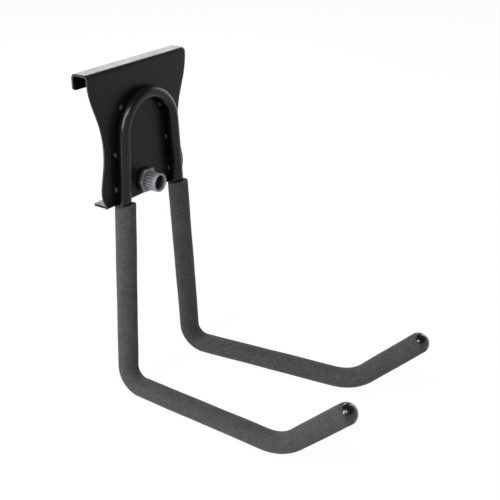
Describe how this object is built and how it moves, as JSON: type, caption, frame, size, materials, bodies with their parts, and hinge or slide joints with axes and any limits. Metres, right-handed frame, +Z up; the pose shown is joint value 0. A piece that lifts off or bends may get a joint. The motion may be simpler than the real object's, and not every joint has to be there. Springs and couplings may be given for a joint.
{
  "type": "garage utility hook",
  "caption": "Wall-rail utility hook: bent steel plate with a lip that hangs on a rail, two foam-covered round arms turned up at the tips, and a hand knob that locks it.",
  "frame": {"origin": "middle of the underside of the plate's top lip, the face that sits on the rail", "axes": "+X to the user's right, -Y out from the wall along the arms, +Z up"},
  "size_m": [0.1106, 0.2044, 0.2269],
  "materials": {
    "plate_enamel": "satin",
    "rod_enamel": "gloss",
    "foam": "matt",
    "cap_vinyl": "gloss",
    "washer_steel": "satin",
    "knob_plastic": "satin",
    "insert_brass": "turned",
    "bolt_steel": "zinc plated"
  },
  "bodies": {
    "hook": {"back_plate": "plate_enamel", "hook_rod": "rod_enamel", "weld_beads": "rod_enamel", "foam_sleeve_left": "foam", "foam_sleeve_right": "foam", "end_cap_left": "cap_vinyl", "end_cap_right": "cap_vinyl", "knob_washer": "washer_steel"},
    "knob": {"lock_knob": "knob_plastic", "knob_insert": "insert_brass"},
    "bolt": {"lock_bolt": "bolt_steel"}
  },
  "joints": [
    {"name": "knob_turn", "type": "hinge", "parent": "hook", "child": "knob", "pos_m": [0, -0.008, -0.0784], "axis": [0, 1, 0], "range_deg": [0, 1080]},
    {"name": "bolt_draw", "type": "slide", "parent": "hook", "child": "bolt", "axis": [0, -1, 0], "range_m": [0, 0.003]}
  ],
  "couplings": [
    {"joint": "knob_turn", "follows": "bolt_draw", "rad_per_m": 6283.2}
  ]
}
